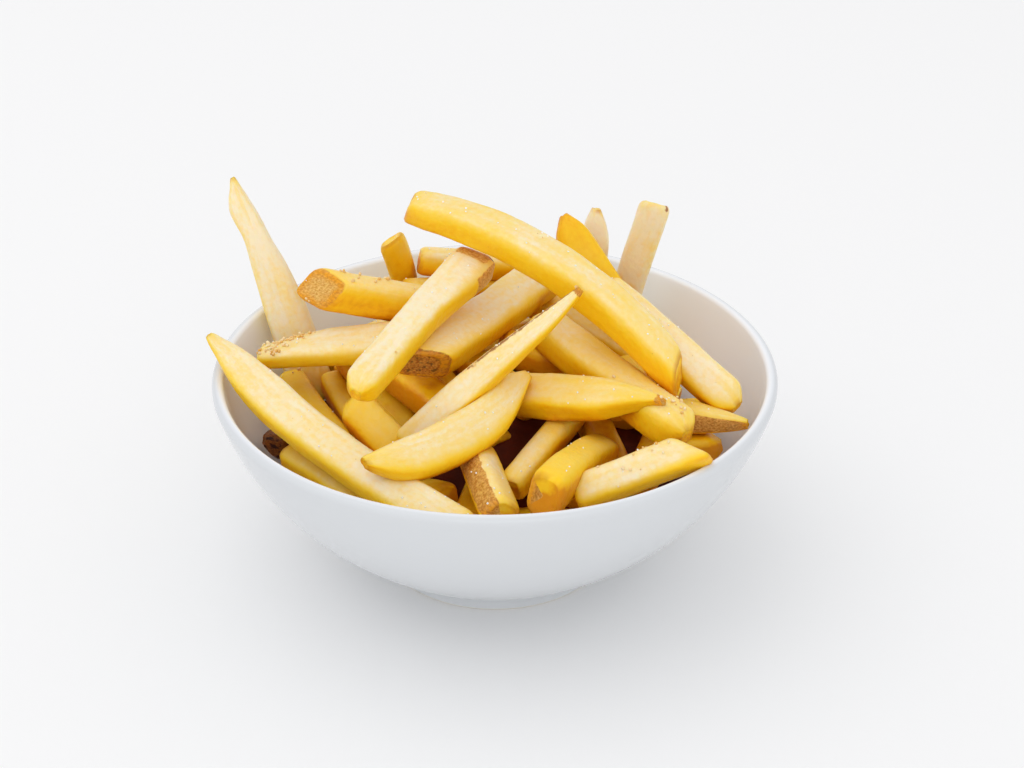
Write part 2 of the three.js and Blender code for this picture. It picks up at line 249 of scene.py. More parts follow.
porcelain, tree = material("glazed_porcelain")
place = add(tree, "TexCoord").outputs["Object"]
height = add(tree, "SeparateXYZ", {"Vector": place}).outputs["Z"]
bare = add(
    tree,
    "MapRange",
    {"Value": height},
    From_Min=BARE_HEIGHT * MM,
    From_Max=0.4 * BARE_HEIGHT * MM,
).outputs["Result"]
wave = add(tree, "TexNoise", {"Vector": place}, Scale=1 / (GLAZE_WAVE * MM), Detail=1.0)
radial = add(tree, "VectorMath", {0: place, 1: (1, 1, 0)}, operation="MULTIPLY").outputs[0]
radial = add(tree, "VectorMath", {0: radial}, operation="NORMALIZE").outputs[0]
facing = add(tree, "NewGeometry").outputs["Normal"]
outward = add(tree, "VectorMath", {0: radial, 1: facing}, operation="DOT_PRODUCT").outputs["Value"]
# Painted light and shade: whiter where the wall faces in, greyer where it faces out.
lit_inside = add(tree, "MapRange", {"Value": outward}, From_Min=0.5, From_Max=-0.4).outputs[0]
body = {0: lit_inside, 6: linear(SHADED_GLAZE_OUTSIDE), 7: linear(LIT_GLAZE_INSIDE)}
body = add(tree, "Mix", body, data_type="RGBA").outputs[2]
body = add(tree, "Mix", {0: bare, 6: body, 7: linear(BARE_BODY)}, data_type="RGBA").outputs[2]
rough = add(tree, "MapRange", {"Value": bare}, To_Min=0.16, To_Max=0.75).outputs["Result"]
bump = {"Height": wave.outputs["Fac"]}
bump = add(tree, "Bump", bump, Strength=0.12, Distance=GLAZE_WAVE_HEIGHT * MM).outputs["Normal"]
surface = add(
    tree,
    "BsdfPrincipled",
    {"Base Color": body, "Roughness": rough, "Normal": bump},
    IOR=1.52,
    Specular_IOR_Level=0.3,
)
add(tree, "OutputMaterial", {"Surface": surface.outputs["BSDF"]})
bowl.data.materials.append(porcelain)
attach(bowl, "root")
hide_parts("bowl")

# --------------------------------------------------------------------------------------------------
# The fries: whole potatoes cut by blade into square sticks about 9.5 mm thick, some with skin left on
# an end or a side, and the outer ones cut to a wedge or a point. Frying sinks their faces, and
# rounds and browns their edges.
# --------------------------------------------------------------------------------------------------

AROUND = 32
ALONG = 62
CAP_RINGS = (0.93, 0.72, 0.4)  # how far out each ring of an end face lies
INSIDE_RIM = 0.999  # of the blank, whose radius is 1
RING_CROWDING = 0.5  # of the mesh's rings towards the ends
CORNER_CROWDING = 0.45  # of its long lines towards the edges
SQUARENESS = (2.7, 3.7)  # exponent of the rounded square that a fry's section is
EASING = 0.05  # share of its length over which a fry's outline turns from one slope to the next
EASING_SAMPLES = 9
TWIST = 7  # degrees from end to end, at most
WOBBLE = 0.5  # mm that a fry snakes from side to side

# The relief of a fry: each height is a share of its half width, and each size is in mm along it.
FACE_SINK, SINK_LENGTH = 0.025, 9
LUMP_HEIGHT, LUMP_SIZE = 0.045, 4.5
LUMP_SQUEEZE = 0.45  # of the lumps' pattern along the fry, which draws them out
CRUMPLE_HEIGHT, CRUMPLE_SIZE = 0.012, 1.7
TIP_SHRINK, TIP_ROUND = 0.12, 0.9

# Its end faces: how they slant, over how many mm that dies out along the fry, and how far in mm their
# middle sinks and their skin puckers.
LEAN_REACH = 9
RANDOM_LEAN, RANDOM_LEAN_REACH = 0.15, 3
DISH = 0.45
PUCKER, PUCKER_SIZE = 0.25, 2.5

# How a fry browns: its ends brown more, over a few mm, and one that stands up is pale all round and
# counts as facing up all round in the crust's painted light.
END_TOAST, END_TOAST_REACH = 0.25, 3
UPRIGHT_PALENESS = 0.2
UPRIGHT_CROWN = 1.6
PATCHINESS, PATCH_SIZE = 0.1, 11
SKIN_FADE = 0.03  # share of the length over which skin or a seam begins
SKIN_EDGE, SKIN_WRAP = 0.8, 0.15  # how far across the fry a side's skin begins, and fades
SEAM_REACH = 0.5  # of a brown edge line's attribute, in radians round the fry
END_SEAM = 1.2  # mm of the same round an end face

# How a fry ends: the shares of its width and thickness left at the tip, and how far back the taper
# starts.
ENDS = {
    "cut": (0.9, 0.9, 1.5),
    "round": (0.4, 0.4, 5),
    "point": (0.22, 0.3, 24),
    "long": (0.18, 0.3, 42),
}
EVEN = ((0, 1, 1, 1), (1, 1, 1, 1))
UPRIGHT = ((0, 0), (0, 0))


def fry(start, stop, wide, thick, roll, ends, bow=(0, 0, 0), lean=UPRIGHT, outline=EVEN, **look):
    """start and stop are the middles of its ends. lean is how far each end face runs out for each mm
    across the fry and up it. outline gives at each station the share of the length, then the shares
    left of its half width to its left and to its right, and of its thickness. look is how it
    browned: tone is how far, skin lists where skin is left, and seams which of its edges are a brown
    line, both with the shares of the length where they begin and end. The last number of a skin is
    how dark it is."""
    line = np.array([start, stop], float)
    shape = dict(wide=wide, thick=thick, roll=roll, ends=ends, bow=np.array(bow, float), lean=lean)
    return dict(line=line, outline=np.array(outline, float), tone=0.3, skin=(), seams=()) | shape | look


SHOWN = [
    # Standing at the left, cut to a point.
    fry(
        (-73, 43, 93), (-49.5, 18, 36), 12.5, 8, 40, "cut cut", tone=0.15,
        outline=(
            (0, 0.08, 0.08, 0.3), (0.1, 0.3, 0.75, 0.6), (0.16, 0.4, 0.8, 0.8), (0.22, 0.48, 0.64, 0.9),
            (0.27, 0.5, 0.62, 1), (0.42, 0.8, 0.8, 1), (0.55, 0.95, 0.92, 1), (0.75, 1, 1, 1),
            (1, 1, 1, 1),
        ),
    ),
    # The long wide one that overhangs the left rim.
    fry(
        (-76.1, 2, 64.8), (-7, -61, 45), 13, 8, 18, "cut cut", bow=(-2, -2, -1), tone=0.08,
        outline=(
            (0, 0.15, 0.15, 0.3), (0.06, 0.5, 0.35, 0.45), (0.16, 0.75, 0.7, 0.7),
            (0.28, 0.85, 0.95, 0.9), (0.45, 0.7, 1, 1), (1, 0.7, 1, 1),
        ),
        seams=(("bottom right", 0.2, 0.55),),
    ),
    # Low at the left, the second of them dark as burned skin all over: painted shade, for the deep
    # shade it lies in.
    fry((-53, -23, 44), (-27, -44, 38), 9.5, 8, 10, "cut cut"),
    fry((-61, -15, 43), (-50, -10, 38), 8, 8, 0, "round cut", tone=1, skin=(("start", -0.1, 1.1, 1),)),
    # Two that point left, one above the other.
    fry(
        (-63.5, 5, 57), (-21, 4.5, 63), 12, 6.5, 0, "cut cut", tone=0.08,
        outline=(
            (0, 0.7, 0.8, 0.75), (0.25, 1.25, 0.95, 0.9), (0.45, 1.45, 1.15, 1), (0.7, 1.3, 1.3, 1.1),
            (1, 1.1, 1.3, 1.15),
        ),
    ),
    fry(
        (-47.8, 14, 73.2), (-9, 18, 63.5), 9, 10.5, 0, "cut cut", lean=((-1.1, 0.7), (0, 0)), tone=0.25,
        skin=(("start", -0.1, 0.02, 0.1),),
    ),
    # Across them, down to the front, brown at its upper end.
    fry(
        (-6, 16, 81), (-34, -38, 70), 10, 8.5, -12, "cut round", tone=0.05,
        outline=(
            (0, 1.5, 0.95, 1), (0.1, 1.5, 1, 1.05), (0.22, 1.3, 1, 1), (0.4, 0.95, 1, 1),
            (1, 0.75, 1.1, 1),
        ),
        skin=(("top", -0.1, 0.07, 0.1), ("left", -0.1, 0.16, 0.3), ("start", -0.1, 0.02, 1)),
    ),
    # From the front to the back, with a burned end in front.
    fry(
        (-19.5, -15.5, 66), (14, 41, 63.5), 12.5, 9.5, 20, "cut cut", lean=((-0.9, 0), (0, 0)), tone=0.1,
        skin=(("start", -0.1, 0.02, 0.8),),
    ),
    # The longest, arched over the top to the right.
    fry(
        (-23.2, 27.6, 91.3), (47, -20, 65), 10.5, 9.5, 4, "cut cut", bow=(2, -1, 8.3), tone=0.2,
        lean=((-0.3, 0), (-0.5, -0.3)), seams=(("stop", 0, 1),),
        outline=(
            (0, 0.75, 0.8, 0.85), (0.06, 1, 0.95, 0.95), (0.3, 1.3, 1, 1), (0.5, 1.2, 1, 1),
            (0.8, 1, 1, 1.1), (1, 0.85, 1, 1.2),
        ),
    ),
    # Standing behind it, fried golden.
    fry(
        (19, 38, 84), (44, 20, 49), 8.5, 8, 45, "cut cut", tone=1,
        outline=(
            (0, 0.15, 0.2, 0.4), (0.06, 0.6, 1.1, 0.7), (0.15, 0.9, 1.6, 0.9), (0.3, 0.95, 1.5, 1),
            (0.5, 1, 1.2, 1), (1, 1, 1, 1),
        ),
    ),
    # Along the right wall.
    fry(
        (29, 10, 74.5), (63, -19, 55.6), 10.5, 8, 33, "cut round", tone=0.1,
        seams=(("bottom right", 0.7, 1),),
    ),
    # Two that stand at the back right, and two at the back left.
    fry(
        (28.6, 51, 80), (26.6, 47, 38), 8, 6.5, -25, "cut cut", tone=0.05,
        outline=((0, 0.3, 0.3, 0.4), (0.06, 0.6, 0.7, 0.7), (0.2, 1, 1, 1), (1, 1, 1, 1)),
    ),
    fry(
        (44.6, 41, 86), (34.5, 48, 38), 9, 7.5, -114, "cut cut", bow=(-1, -1, 0), tone=0.1,
        lean=((0, -0.6), (0, 0)), seams=(("top left", -0.1, 0.04),),
    ),
    fry((-29.5, 40, 75.5), (-23, 53, 40), 8, 6.5, -34, "cut cut", lean=((0.65, 0.5), (0, 0)), tone=0.55),
    fry((-22, 43, 67.5), (8, 45, 64), 8, 8, 0, "cut cut", tone=0.1),
    # The long thin wedge across the middle.
    fry(
        (22, -14, 87), (-22.2, -30, 49.5), 10, 6.5, -35, "long cut", tone=0.15,
        outline=((0, 1, 1, 1), (0.2, 0.9, 1, 1), (0.35, 0.65, 1, 1), (0.7, 0.7, 1, 1), (1, 0.9, 1, 1)),
        skin=(("start", -0.1, 0.03, 0.6),), seams=(("top right", 0, 0.6),),
    ),
    # The leaf-shaped one in front of it.
    fry(
        (-31.7, -49.5, 57.6), (8.6, -14.3, 62), 14.5, 7, 38, "cut cut", bow=(3, -4.5, -2.5), tone=0.15,
        outline=(
            (0, 0.2, 0.2, 0.5), (0.1, 0.4, 0.85, 0.9), (0.22, 0.6, 1, 1), (0.45, 0.8, 0.95, 1),
            (0.65, 0.75, 0.9, 1), (0.78, 0.8, 0.7, 0.9), (0.9, 0.75, 0.35, 0.75), (1, 0.25, 0.15, 0.4),
        ),
        seams=(("bottom right", 0, 0.2),),
    ),
    # The wedge that points right, and the thick one under it.
    fry(
        (4, -10.2, 54.5), (42.3, -32.5, 65), 12, 8.5, 25, "cut cut", tone=0.28,
        outline=(
            (0, 0.9, 0.9, 1), (0.3, 1, 1, 1), (0.6, 0.8, 1.05, 0.95), (0.8, 0.55, 0.55, 0.7),
            (1, 0.15, 0.15, 0.35),
        ),
        skin=(("stop", 0.97, 1.1, 0.3),), seams=(("bottom right", 0.6, 1),),
    ),
    fry((13, 14, 61.5), (48, -38, 58), 11, 11, 0, "cut round", tone=0.22),
    # Two short ones against the right wall, the first with skin.
    fry(
        (47, -19, 52.9), (65, -25, 53.9), 9, 9, 0, "cut point", tone=0.25,
        skin=(("right", -0.1, 1.1, 0.55),),
    ),
    fry((45, -24, 45.4), (59, -22, 45.7), 8, 8, 0, "cut round", tone=0.8),
    # Along the front rim, two of them with skin.
    fry((20, -51, 49), (49, -49, 61), 9, 8, 35, "cut cut", lean=((0, 0), (-1, 0)), tone=0.1),
    fry(
        (12, -60, 54.3), (29, -21, 43.5), 9.5, 8.5, 10, "cut cut", bow=(0, 0, 2.5), tone=0.5,
        outline=((0, 1, 1, 1.6), (0.25, 1, 1, 1.45), (0.55, 1, 1, 1.1), (1, 1, 1, 1)),
        skin=(("left", -0.1, 0.35, 0.5),),
    ),
    fry((4, -42, 45), (21, -12, 50), 7.5, 8, 0, "cut cut", tone=0.15),
    fry((2, -60, 49), (-5, -31, 49), 9.5, 9, 42, "cut cut", tone=0.15, skin=(("left", -0.1, 1.1, 0.45),)),
    # Seen in the gaps between the others, deep in tone: partly their own browning, partly painted shade
    # for the shade they lie in.
    fry((-29, 3, 55), (-10, -17, 51), 10, 9, 0, "cut cut", tone=0.9),
    fry((-38, -12, 53), (-24, -27, 45), 11, 8.5, 35, "round cut", tone=0.45),
    fry((-57, 14, 45), (-41, -14, 40), 8, 8, 0, "cut cut", tone=0.5),
    fry((-46, 16, 44), (-34, -13, 40), 7, 7, 0, "cut cut", tone=0.45),
    fry((1, 13, 56.5), (22, 9, 50.5), 9, 9, 0, "cut cut", tone=0.8),
    fry((32, 40, 50), (36, 29, 38), 8, 8, 0, "cut cut", tone=0.8),
    fry((25, -5, 46), (32, -26, 38), 9, 9, 0, "cut cut", tone=0.9),
    fry((44, -14, 44), (37, -32, 39), 9, 9, 0, "cut cut", tone=0.9),
]

# The fries that prop those up, seen between them and from behind.
PROPS = [
    fry((-26, 36, 60), (6, 46, 57), 9, 9, 10, "cut cut"),
    fry((-20, 60, 47), (-8, 26, 55), 9.5, 9, -8, "round cut"),
    fry((8, 47, 55), (45, 17, 46), 9.5, 9, 5, "round cut"),
    fry((-48, 36, 39), (-14, 24, 61), 10, 10, 12, "cut round"),
    fry((50, 22, 37), (22, 50, 42), 10, 9, -10, "round cut"),
    fry((-46, -20, 47), (-28, -37, 44), 8, 7.5, 0, "cut cut"),
]

# The bed under them: fries dropped at random into the dome between the core and those that show, of
# which the ones that find room stay.
GAP = 0.3
CORE_TOP = 52
CORE_EDGE = 34
PLACING_STEPS = 8  # chords that stand for the bowl's wall when fries are placed
LINE_STEPS = 12
BED_COUNT = 34
BED_TRIES = 16000
BED_LENGTH = (26, 58)
BED_WIDTH = (8.5, 10)
BED_SLOPE = 0.35
BED_ROLL = 30
BED_FLATNESS = 1  # mm by which a bed fry is thinner than it is wide
BED_SQUEEZE = 3  # mm that it may press into another
SHOWN_SQUEEZE = 1  # mm that it may press into one that shows
REST_GAP = 1  # mm above the core that still counts as lying on it
# The bed is deeper in tone than most fries on top: partly its own browning, partly painted shade for the
# shade it lies in.
BED_TONE = (0.35, 0.3)  # the least, and how much more it can be
DOME = dict(middle=(-5, -4), reach=62, top=64, edge=44)

seed = 20


def draw(low, high):
    """The next of a fixed row of random numbers."""
    global seed
    seed = (seed * 16807) % 2147483647
    return low + (high - low) * seed / 2147483647


placing_wall = wall_points(WALL, PLACING_STEPS)


def wall_radius(height):
    radius = np.interp(height, placing_wall[:, 1], placing_wall[:, 0])
    radius = np.where(height > placing_wall[-1, 1], np.inf, radius)
    return np.where(height < placing_wall[0, 1], 0, radius)


CORE = dict(middle=(0, 0), reach=float(wall_radius(CORE_EDGE)) - GAP, top=CORE_TOP, edge=CORE_EDGE)


def mound_height(x, y, mound):
    share = np.hypot(x - mound["middle"][0], y - mound["middle"][1]) / mound["reach"]
    return mound["top"] - (mound["top"] - mound["edge"]) * share**2


def spine(made, share):
    """Points on a fry's middle line, bowed out at its middle."""
    start, stop = made["line"]
    pull = (start + stop) / 2 + 2 * made["bow"]
    share = np.asarray(share)[:, None]
    return (1 - share) ** 2 * start + 2 * (1 - share) * share * pull + share**2 * stop


def middle_line(made):
    return spine(made, np.linspace(0, 1, LINE_STEPS + 1))


def deepest(made, line, others, lines):
    """How deep a fry runs into the nearest of others."""
    apart = np.linalg.norm(lines[:, :, None] - line[None, None], axis=3).min(axis=(1, 2))
    girth = made["wide"] + made["thick"]
    reach = np.array([(girth + other["wide"] + other["thick"]) / 4 for other in others])
    return (reach - apart).max()


shown_lines = np.array([middle_line(made) for made in SHOWN])


def has_room(made, placed, lines):
    line = middle_line(made)
    x, y, z = line.T
    if not (np.hypot(x, y) < wall_radius(z - made["thick"] / 2) - made["wide"] / 2).all():
        return False
    if not (z < mound_height(x, y, DOME)).all():
        return False
    over_core = z - mound_height(x, y, CORE)
    if over_core.max() < -REST_GAP or deepest(made, line, SHOWN, shown_lines) > SHOWN_SQUEEZE:
        return False
    press = deepest(made, line, placed, np.array(lines))
    return press < BED_SQUEEZE and (press > 0 or over_core.min() < REST_GAP)


def bed_fries():
    placed = list(PROPS)
    lines = [middle_line(made) for made in placed]
    for _ in range(BED_TRIES):
        radius = DOME["reach"] * math.sqrt(draw(0, 1))
        bearing = draw(0, 2 * math.pi)
        turn = draw(0, math.pi)
        half = draw(*BED_LENGTH) / 2
        height = draw(CORE["edge"], DOME["top"])
        rise = half * draw(-BED_SLOPE, BED_SLOPE)
        wide = draw(*BED_WIDTH)
        roll = draw(-BED_ROLL, BED_ROLL)
        middle = np.array([radius * math.cos(bearing), radius * math.sin(bearing), height])
        reach = np.array([half * math.cos(turn), half * math.sin(turn), rise])
        thick = wide - BED_FLATNESS
        tone = BED_TONE[0] + BED_TONE[1] * (wide % 1)
        made = fry(middle - reach, middle + reach, wide, thick, roll, "cut round", tone=tone)
        if has_room(made, placed, lines):
            placed.append(made)
            lines.append(middle_line(made))
        if len(placed) == BED_COUNT + len(PROPS):
            break
    return placed


def close_end():
    """Closes the selected ring by rings inside it and a fan of faces in the middle."""
    for inward, last in zip(CAP_RINGS, (1, *CAP_RINGS)):
        bpy.ops.mesh.extrude_region_move()
        bpy.ops.transform.resize(value=(inward / last, inward / last, 1))
    bpy.ops.mesh.edge_face_add()
    bpy.ops.mesh.poke()


def fry_blank():
    """A straight round stick, 1 long and 1 in radius: a circle closed by an end face, then extruded
    ring by ring from its rim, and closed again."""
    deselect()
    bpy.ops.mesh.primitive_circle_add(vertices=AROUND, radius=1)
    blank = bpy.context.object
    bpy.ops.object.mode_set(mode="EDIT")
    bpy.ops.mesh.select_all(action="SELECT")
    close_end()
    bpy.ops.object.mode_set(mode="OBJECT")
    rim = [math.hypot(*vertex.co[:2]) > INSIDE_RIM for vertex in blank.data.vertices]
    blank.data.vertices.foreach_set("select", rim)
    for edge in blank.data.edges:
        edge.select = rim[edge.vertices[0]] and rim[edge.vertices[1]]
    for face in blank.data.polygons:
        face.select = False
    bpy.ops.object.mode_set(mode="EDIT")
    for _ in range(ALONG):
        bpy.ops.mesh.extrude_region_move(TRANSFORM_OT_translate={"value": (0, 0, 1 / ALONG)})
    close_end()
    bpy.ops.mesh.select_all(action="SELECT")
    bpy.ops.mesh.normals_make_consistent(inside=False)
    bpy.ops.object.mode_set(mode="OBJECT")
    return blank


def end_share(end, distance, measure):
    """The share of its width or thickness that a fry has at a distance from one end."""
    kept = end[measure]
    return kept + (1 - kept) * np.sin(np.minimum(1, distance / end[2]) * math.pi / 2)


def eased(stations, column, share):
    """One column of an outline at each share of the length, with its corners eased."""
    nearby = np.clip(share[:, None] + np.linspace(-EASING, EASING, EASING_SAMPLES), 0, 1)
    return np.interp(nearby, stations[:, 0], stations[:, column]).mean(axis=1)


# The four long edges of a fry: up or down, then left or right.
CORNERS = {
    "top left": (1, 1),
    "top right": (1, -1),
    "bottom left": (-1, 1),
    "bottom right": (-1, -1),
}
PATTERN_STEP = (37.0, 11.0, 23.0)  # mm that each fry's pattern is moved on from the last one's
NOISE_STEP = (7.3, 3.1, 0)  # the same for its lumps


def rough_field(points, grain, offset):
    """Smooth noise from -1 to 1 at points, with lumps about grain mm across."""
    return np.array([noise.noise(Vector(point) / grain + offset) for point in points])


def between(share, begin, end):
    """1 from begin to end and 0 elsewhere, with faded ends."""
    begun = np.clip((share - begin) / SKIN_FADE + 0.5, 0, 1)
    return begun * np.clip((end - share) / SKIN_FADE + 0.5, 0, 1)


def shape_fry(made, blank_points, number):
    """Vertices of one fry in mm, and what its surface is like there."""
    x, y, z = blank_points.T
    ring = np.hypot(x, y)
    length = float(np.linalg.norm(made["line"][1] - made["line"][0]))
    along = (made["line"][1] - made["line"][0]) / length
    side = np.cross((0, 0, 1), along)
    side /= np.linalg.norm(side)
    roll = math.radians(made["roll"])
    side = side * math.cos(roll) + np.cross(along, side) * math.sin(roll)
    top = np.cross(along, side)

    share = z - RING_CROWDING * np.sin(2 * math.pi * z) / (2 * math.pi)
    near, far = share * length, (1 - share) * length
    tip = np.minimum(near, far)
    first, last = (ENDS[name] for name in made["ends"].split())

    angle = np.arctan2(y, x)
    angle = angle + CORNER_CROWDING * np.sin(4 * angle) / 4
    squareness = draw(*SQUARENESS)
    corner = np.abs(np.cos(angle)) ** squareness + np.abs(np.sin(angle)) ** squareness
    corner = corner ** (-1 / squareness)
    across, up = corner * np.cos(angle), corner * np.sin(angle)
    offset = Vector([number * step for step in NOISE_STEP])
    local = [across * ring * made["wide"] / 2, up * ring * made["thick"] / 2, near]
    local = np.stack(local, axis=1)

    lumps = rough_field(local * (1, 1, LUMP_SQUEEZE), LUMP_SIZE, offset)
    crumple = rough_field(local, CRUMPLE_SIZE, offset)
    hollows = 1 + rough_field(local * (0, 0, 1), SINK_LENGTH, offset)
    sink = FACE_SINK * (np.cos(4 * angle) + 1) / 2 * hollows
    swell = 1 - sink + LUMP_HEIGHT * lumps + CRUMPLE_HEIGHT * crumple
    swell = swell * (1 - TIP_SHRINK * np.exp(-tip / TIP_ROUND)) * ring
    left, right, deep = (eased(made["outline"], column, share) for column in (1, 2, 3))
    half_wide = made["wide"] / 2 * end_share(first, near, 0) * end_share(last, far, 0)
    half_thick = made["thick"] / 2 * end_share(first, near, 1) * end_share(last, far, 1)
    across_mm = across * half_wide * np.where(across > 0, left, right) * swell
    up_mm = up * half_thick * deep * swell

    twist = math.radians(draw(-TWIST, TWIST)) * (share - 0.5)
    across_mm, up_mm = (
        across_mm * np.cos(twist) - up_mm * np.sin(twist),
        across_mm * np.sin(twist) + up_mm * np.cos(twist),
    )
    shift = 0
    for slant, distance in zip(made["lean"], (near, far)):
        run = (slant[0] * across_mm + slant[1] * up_mm) * np.exp(-distance / LEAN_REACH)
        slip = draw(-RANDOM_LEAN, RANDOM_LEAN) * across_mm + draw(-RANDOM_LEAN, RANDOM_LEAN) * up_mm
        shift = shift + (run + slip * np.exp(-distance / RANDOM_LEAN_REACH))
    pucker = DISH * (1 - ring**2) + PUCKER * rough_field(local, PUCKER_SIZE, offset)
    shift = shift + np.where(z < 0.5, pucker, -pucker) * (ring < 1)
    wobble = draw(-WOBBLE, WOBBLE) * np.sin(math.pi * share * draw(1, 2))
    points = spine(made, share) + np.outer(across_mm + wobble, side)
    points = points + np.outer(up_mm, top) + np.outer(shift, along)

    edge = (1 - np.abs(across)) * made["wide"] / 2, (1 - np.abs(up)) * made["thick"] / 2
    edge = np.minimum(np.hypot(*edge), tip)
    edge = np.where(ring < INSIDE_RIM, (1 - ring) * made["thick"] / 2, edge)
    steep = abs(along[2])
    toast = made["tone"] - UPRIGHT_PALENESS * steep**4 + END_TOAST * np.exp(-tip / END_TOAST_REACH)
    toast = toast + PATCHINESS * rough_field(local, PATCH_SIZE, offset)
    # How far each point faces up, for the painted light of the crust: paler where it faces up, as if lit.
    lit_top = side[2] * np.cos(angle) + top[2] * np.sin(angle) + UPRIGHT_CROWN * steep**2
    facing = {"left": across, "right": -across, "top": up, "bottom": -up}
    skin, dark = np.zeros(len(x)), np.zeros(len(x))
    for place, begin, end, darkness in made["skin"]:
        inside = between(share, begin, end)
        if place in facing:
            inside = inside * np.clip((facing[place] - SKIN_EDGE) / SKIN_WRAP, 0, 1)
        dark = np.where(inside > skin, darkness, dark)
        skin = np.maximum(skin, inside)
    seam = np.zeros(len(x))
    for place, begin, end in made["seams"]:
        if place in ("start", "stop"):
            distance = (near if place == "start" else far) + (1 - ring) * made["thick"] / 2
            line = 1 - distance / END_SEAM
        else:
            away = np.cos(angle - math.atan2(*CORNERS[place]))
            line = 1 - np.arccos(np.clip(away, -1, 1)) / SEAM_REACH
        seam = np.maximum(seam, line.clip(0, 1) * between(share, begin, end))
    follow = local + np.array(PATTERN_STEP) * (number + 1)
    follow = follow[:, (2, 0, 1)]
    return points, follow, dict(edge=edge, toast=toast, skin=skin, dark=dark, seam=seam, lit_top=lit_top)


blank = fry_blank()
blank_points = np.array([vertex.co for vertex in blank.data.vertices])
blank_faces = [list(face.vertices) for face in blank.data.polygons]
bpy.data.objects.remove(blank)


def fry_heap(name, heap):
    """One mesh of many fries, with the edges, browning and skin of each kept as attributes."""
    shaped = [shape_fry(made, blank_points, number) for number, made in enumerate(heap)]
    points = np.concatenate([place for place, _, _ in shaped]) * MM
    count = len(blank_points)
    faces = [[v + count * k for v in face] for k in range(len(heap)) for face in blank_faces]
    mesh = bpy.data.meshes.new(name)
    mesh.from_pydata(points.tolist(), [], faces)
    for attribute in shaped[0][2]:
        values = np.concatenate([kept[attribute] for _, _, kept in shaped]).astype(np.float32)
        mesh.attributes.new(attribute, "FLOAT", "POINT").data.foreach_set("value", values)
    follow = np.concatenate([along for _, along, _ in shaped]).astype(np.float32)
    mesh.attributes.new("follow", "FLOAT_VECTOR", "POINT").data.foreach_set("vector", follow.ravel())
    piece = bpy.data.objects.new(name, mesh)
    bpy.context.scene.collection.objects.link(piece)
    mesh.polygons.foreach_set("use_smooth", [True] * len(mesh.polygons))
    return piece


fries = fry_heap("fries_shown", SHOWN + PROPS)
bed = fry_heap("fries_bed", bed_fries()[len(PROPS) :])

# How far each point is sheltered by its neighbours, from 0 to 1. There the crust is painted deeper
# yellow, and dark orange where it is most sheltered: painted shade.
SHELTER_RAYS = 12
SHELTER_REACH = 22
SHELTER_LIFT = 0.4  # mm off the surface at which the rays begin
GRAZING = 0.05  # a ray flatter than this to the surface doesn't count
SHELTER_EASING = 8  # rounds of averaging with the points next to it


def merged(pieces):
    corners, faces = [], []
    for piece in pieces:
        faces += [[len(corners) + v for v in face.vertices] for face in piece.data.polygons]
        corners += [vertex.co.copy() for vertex in piece.data.vertices]
    return corners, faces


def shelter(pieces):
    tree = BVHTree.FromPolygons(*merged(pieces))
    rays = []
    for k in range(SHELTER_RAYS):
        turn = k * math.pi * (3 - math.sqrt(5))  # the golden angle
        rise = (k + 0.5) / SHELTER_RAYS
        reach = math.sqrt(1 - rise**2)
        rays.append(Vector((reach * math.cos(turn), reach * math.sin(turn), rise)))
    rays += [Vector((ray.x, ray.y, -ray.z)) for ray in rays[::2]]
    for piece in pieces:
        mesh = piece.data
        hidden = []
        for vertex in mesh.vertices:
            origin = vertex.co + vertex.normal * SHELTER_LIFT * MM
            met = total = 0
            for ray in rays:
                facing = ray.dot(vertex.normal)
                if facing > GRAZING:
                    total += facing
                    if tree.ray_cast(origin, ray, SHELTER_REACH * MM)[0]:
                        met += facing
            hidden.append(met / total)
        hidden = np.array(hidden)
        ends = np.array([edge.vertices for edge in mesh.edges])
        for _ in range(SHELTER_EASING):
            around = np.bincount(ends[:, 0], hidden[ends[:, 1]], len(hidden))
            around += np.bincount(ends[:, 1], hidden[ends[:, 0]], len(hidden))
            hidden = (hidden + around / np.bincount(ends.ravel(), minlength=len(hidden))) / 2
        kept = mesh.attributes.new("sheltered", "FLOAT", "POINT")
        kept.data.foreach_set("value", hidden.astype(np.float32))


shelter((fries, bed))

# Deep-fried potato: a thin dry crust, golden to brown along the edges and ends, with skin left brown
# and mottled. It is painted cream where it faces up and deep yellow down its sides, as painted light
# and shade, and deeper yellow to dark orange where its neighbours shelter it, as painted shade. A trace
# of oil gives it a broken, satin shine. The grain and the flecks are drawn coarser than real starch
# cells, to show.
BROWNING = (
    (0.12, "#f7dc94"),
    (0.27, "#f9d562"),
    (0.45, "#fbd03a"),
    (0.62, "#fbcb1c"),
    (0.8, "#f6bc0c"),
)
PALE_CRUST = "#f6e7c2"
TOASTED_CRUST = "#e29408"
CRISP_EDGE = "#c8820e"
SPECK = "#8a4a10"
# Painted shade: the dark orange laid where neighbours shelter the crust most.
PAINTED_SHADE = "#b4600a"
DRIED_SKIN = ("#cc8418", "#f0a81a", "#f0ca74")  # in its pits, round its margin, and inside it
BURNED_SKIN = ("#8a3606", "#d08a2c", "#e09a1e")  # in its pits, between them, and round its margin
CHAR_SPOT = "#2a0602"
CHAR_AND_SHADE_SKIN = "#3a0c04"
SEAM_LINE = "#8a4408"
STREAK_WIDTH = 2.4  # mm, as are the next six
BLOTCH_SIZE = 7.0
FLECK_SIZE = 1.6
GRAIN_SIZE = 0.6
BLISTER_SIZE = 1.3
RELIEF_HEIGHT = 0.3
FLESH_DEPTH = 4  # that light reaches into the flesh
STREAK_SQUEEZE = 0.14  # of the streaks' pattern along the fry, which draws them out
# The painted light of the crust: its paler upper side is painted as lit, its sides as in shade.
CROWN_SHARE = 0.55  # how far the paler upper side follows the stick, not its lumps

potato, tree = material("fried_potato")
follow = add(tree, "Attribute", attribute_name="follow").outputs["Vector"]
edge, toast, skin, dark, seam, lit_top, sheltered = (
    add(tree, "Attribute", attribute_name=name).outputs["Fac"]
    for name in ("edge", "toast", "skin", "dark", "seam", "lit_top", "sheltered")
)

